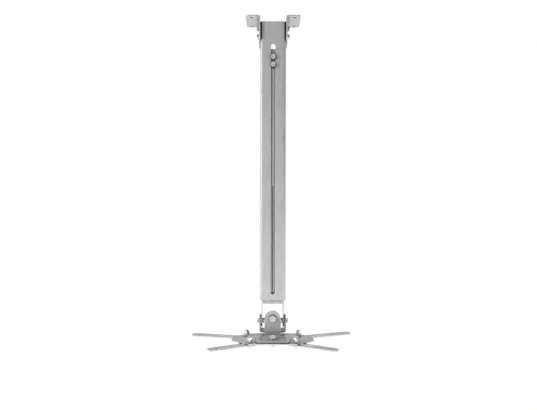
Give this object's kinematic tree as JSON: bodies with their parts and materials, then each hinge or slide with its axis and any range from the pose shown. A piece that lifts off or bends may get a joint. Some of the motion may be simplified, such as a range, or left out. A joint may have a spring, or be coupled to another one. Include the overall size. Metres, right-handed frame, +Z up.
{
  "type": "projector ceiling mount",
  "caption": "Telescopic steel ceiling mount for a projector: slotted square column on angle brackets, with a head that tilts, rolls and swivels and slotted arms for the device.",
  "frame": {"origin": "centre of the four ceiling holes, on the ceiling plane", "axes": "+Z up into the ceiling, -Y towards the slotted face of the column, +X to the right when looking at that face"},
  "size_m": [0.3593, 0.1503, 0.7175],
  "materials": {
    "silver_paint": "satin silver powder coat on steel sheet, finely mottled",
    "zinc": "bright zinc plated steel",
    "nylon": "dark nylon friction disc"
  },
  "bodies": {
    "hanger": {"ceiling_bracket_left": "silver_paint", "ceiling_bracket_right": "silver_paint", "outer_column": "silver_paint", "ceiling_bolts": "zinc", "ceiling_washers": "zinc", "ceiling_nuts": "zinc"},
    "slider": {"inner_column": "silver_paint", "length_bolts": "zinc", "length_washers": "zinc", "length_nut_plate": "zinc"},
    "tilt_head": {"tilt_bracket": "silver_paint", "tilt_bolts": "zinc", "tilt_washers": "zinc", "tilt_friction_discs": "nylon", "tilt_nuts": "zinc"},
    "roll_foot": {"swivel_bracket": "silver_paint", "roll_bolt": "zinc", "roll_washers": "zinc", "roll_nut": "zinc"},
    "spider": {"spider_plate": "silver_paint", "swivel_bolt": "zinc", "swivel_washers": "zinc", "swivel_nut": "zinc"},
    "post_rear_left": {"post_bolt_rear_left": "zinc", "post_washer_rear_left": "zinc", "post_nuts_rear_left": "zinc"},
    "arm_rear_left": {"arm_rear_left": "silver_paint"},
    "post_rear_right": {"post_bolt_rear_right": "zinc", "post_washer_rear_right": "zinc", "post_nuts_rear_right": "zinc"},
    "arm_rear_right": {"arm_rear_right": "silver_paint"},
    "post_front_left": {"post_bolt_front_left": "zinc", "post_washer_front_left": "zinc", "post_nuts_front_left": "zinc"},
    "arm_front_left": {"arm_front_left": "silver_paint"},
    "post_front_right": {"post_bolt_front_right": "zinc", "post_washer_front_right": "zinc", "post_nuts_front_right": "zinc"},
    "arm_front_right": {"arm_front_right": "silver_paint"}
  },
  "joints": [
    {"name": "column_slide", "type": "slide", "parent": "hanger", "child": "slider", "axis": [0, 0, -1], "range_m": [-0.02, 0.5]},
    {"name": "head_tilt", "type": "hinge", "parent": "slider", "child": "tilt_head", "pos_m": [0, 0, -0.6767], "axis": [1, 0, 0], "range_deg": [-15, 15]},
    {"name": "head_roll", "type": "hinge", "parent": "tilt_head", "child": "roll_foot", "pos_m": [0, -0.018, -0.667], "axis": [0, 1, 0], "range_deg": [-6, 6]},
    {"name": "spider_swivel", "type": "hinge", "parent": "roll_foot", "child": "spider", "pos_m": [0, -0.06, -0.7045], "axis": [0, 0, 1], "range_deg": [-20, 20]},
    {"name": "arm_swing_rear_left", "type": "hinge", "parent": "spider", "child": "post_rear_left", "pos_m": [-0.0565, -0.025, -0.706], "axis": [0, 0, 1], "range_deg": [-12, 12]},
    {"name": "arm_slide_rear_left", "type": "slide", "parent": "post_rear_left", "child": "arm_rear_left", "axis": [-0.9833, 0.1822, 0], "range_m": [-0.025, 0]},
    {"name": "arm_swing_rear_right", "type": "hinge", "parent": "spider", "child": "post_rear_right", "pos_m": [0.0565, -0.025, -0.706], "axis": [0, 0, 1], "range_deg": [-12, 12]},
    {"name": "arm_slide_rear_right", "type": "slide", "parent": "post_rear_right", "child": "arm_rear_right", "axis": [0.9511, 0.309, 0], "range_m": [-0.025, 0]},
    {"name": "arm_swing_front_left", "type": "hinge", "parent": "spider", "child": "post_front_left", "pos_m": [-0.049, -0.073, -0.706], "axis": [0, 0, 1], "range_deg": [-12, 12]},
    {"name": "arm_slide_front_left", "type": "slide", "parent": "post_front_left", "child": "arm_front_left", "axis": [-0.9063, -0.4226, 0], "range_m": [-0.015, 0.009]},
    {"name": "arm_swing_front_right", "type": "hinge", "parent": "spider", "child": "post_front_right", "pos_m": [0.049, -0.073, -0.706], "axis": [0, 0, 1], "range_deg": [-12, 12]},
    {"name": "arm_slide_front_right", "type": "slide", "parent": "post_front_right", "child": "arm_front_right", "axis": [0.9026, -0.4305, 0], "range_m": [-0.015, 0.009]}
  ]
}
